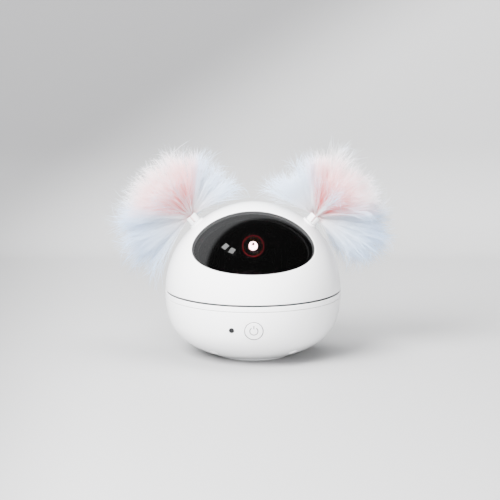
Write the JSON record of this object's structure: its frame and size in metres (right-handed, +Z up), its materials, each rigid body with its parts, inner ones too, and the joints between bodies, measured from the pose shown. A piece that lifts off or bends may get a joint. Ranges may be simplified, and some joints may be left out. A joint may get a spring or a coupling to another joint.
{
  "type": "automatic cat laser toy",
  "caption": "Domed turret on a bowl-shaped base, with a tilting laser behind a dark window and a pull-out feather plume on each side.",
  "frame": {"origin": "on the floor, at the middle of the object's box, on the axis that the turret turns about", "axes": "+X to the toy's right as seen from the front, +Y to the back, +Z up; the window and the button face -Y"},
  "size_m": [0.1619, 0.1002, 0.1252],
  "materials": {
    "white_shell": "glossy moulded plastic",
    "foot_silicone": "matt silicone",
    "dark_window": "polished smoked plastic",
    "dark_plastic": "fine moulded grain",
    "indicator_plastic": "polished smoked plastic",
    "natural_plastic": "satin moulded plastic",
    "circuit_board": "satin solder mask",
    "steel": "plain",
    "brass": "plain",
    "cell_wrap": "shrink wrap",
    "lead_jacket": "soft vinyl",
    "plunger_plastic": "satin moulded plastic",
    "laser_glass": "polished",
    "red_ring": "polished",
    "feather": "down, coral at the quill and pale at the tips"
  },
  "bodies": {
    "base": {"base_bowl": "white_shell", "base_deck": "white_shell", "foot_ring": "foot_silicone", "base_screws": "steel", "hub_bush": "natural_plastic", "drive_motor": "steel", "battery_cell": "cell_wrap", "battery_holder": "dark_plastic", "battery_contacts": "brass", "main_board": "circuit_board", "board_chips": "dark_plastic", "board_sockets": "natural_plastic", "board_screws": "steel", "button_board": "circuit_board", "button_board_screws": "steel", "tact_switch": "dark_plastic", "indicator_lens": "indicator_plastic", "indicator_led": "natural_plastic", "charge_board": "circuit_board", "charge_board_screws": "steel", "usb_socket": "steel", "brush_block": "dark_plastic", "brush_contacts": "brass", "base_leads": "lead_jacket"},
    "drive_pinion": {"drive_shaft": "steel", "drive_pinion": "brass"},
    "power_button": {"power_button": "white_shell", "switch_plunger": "plunger_plastic"},
    "turret": {"head_shell": "white_shell", "window": "dark_window", "turntable": "dark_plastic", "drive_gear": "natural_plastic", "hub_washer": "steel", "hub_screw": "steel", "slip_disc": "circuit_board", "slip_tracks": "brass", "head_screws": "steel", "bracket_left": "dark_plastic", "bracket_right": "dark_plastic", "bracket_screws": "steel", "tilt_motor": "steel", "motor_clip": "steel", "clip_screws": "steel", "head_board": "circuit_board", "head_board_parts": "dark_plastic", "head_board_screws": "steel", "head_leads": "lead_jacket"},
    "laser_carriage": {"laser_cradle": "dark_plastic", "laser_barrel": "brass", "laser_lens": "laser_glass", "laser_ring": "red_ring"},
    "tilt_pinion": {"tilt_shaft": "steel", "tilt_pinion": "brass"},
    "left_feather": {"left_ferrule": "white_shell", "left_plume": "feather"},
    "right_feather": {"right_ferrule": "white_shell", "right_plume": "feather"}
  },
  "joints": [
    {"name": "turret_turn", "type": "hinge", "parent": "base", "child": "turret", "pos_m": [0, 0, 0.034], "axis": [0, 0, 1], "continuous": true},
    {"name": "drive_pinion_spin", "type": "hinge", "parent": "base", "child": "drive_pinion", "pos_m": [-0.0216, 0, 0.025], "axis": [0, 0, 1], "continuous": true},
    {"name": "power_button_press", "type": "slide", "parent": "base", "child": "power_button", "axis": [0, 1, 0], "range_m": [0, 0.0005], "stiffness_N_per_m": 900, "springref_m": -0.0004},
    {"name": "laser_tilt", "type": "hinge", "parent": "turret", "child": "laser_carriage", "pos_m": [0, -0.018, 0.0677], "axis": [1, 0, 0], "range_deg": [-10, 20]},
    {"name": "tilt_pinion_spin", "type": "hinge", "parent": "turret", "child": "tilt_pinion", "pos_m": [0.0139, -0.018, 0.0469], "axis": [1, 0, 0], "range_deg": [-70, 36]},
    {"name": "left_feather_pull", "type": "slide", "parent": "turret", "child": "left_feather", "axis": [-0.6428, 0, 0.766], "range_m": [0, 0.014]},
    {"name": "right_feather_pull", "type": "slide", "parent": "turret", "child": "right_feather", "axis": [0.6428, 0, 0.766], "range_m": [0, 0.014]}
  ],
  "couplings": [
    {"joint": "drive_pinion_spin", "follows": "turret_turn", "ratio": -2.8571},
    {"joint": "tilt_pinion_spin", "follows": "laser_tilt", "ratio": -3.3333}
  ]
}
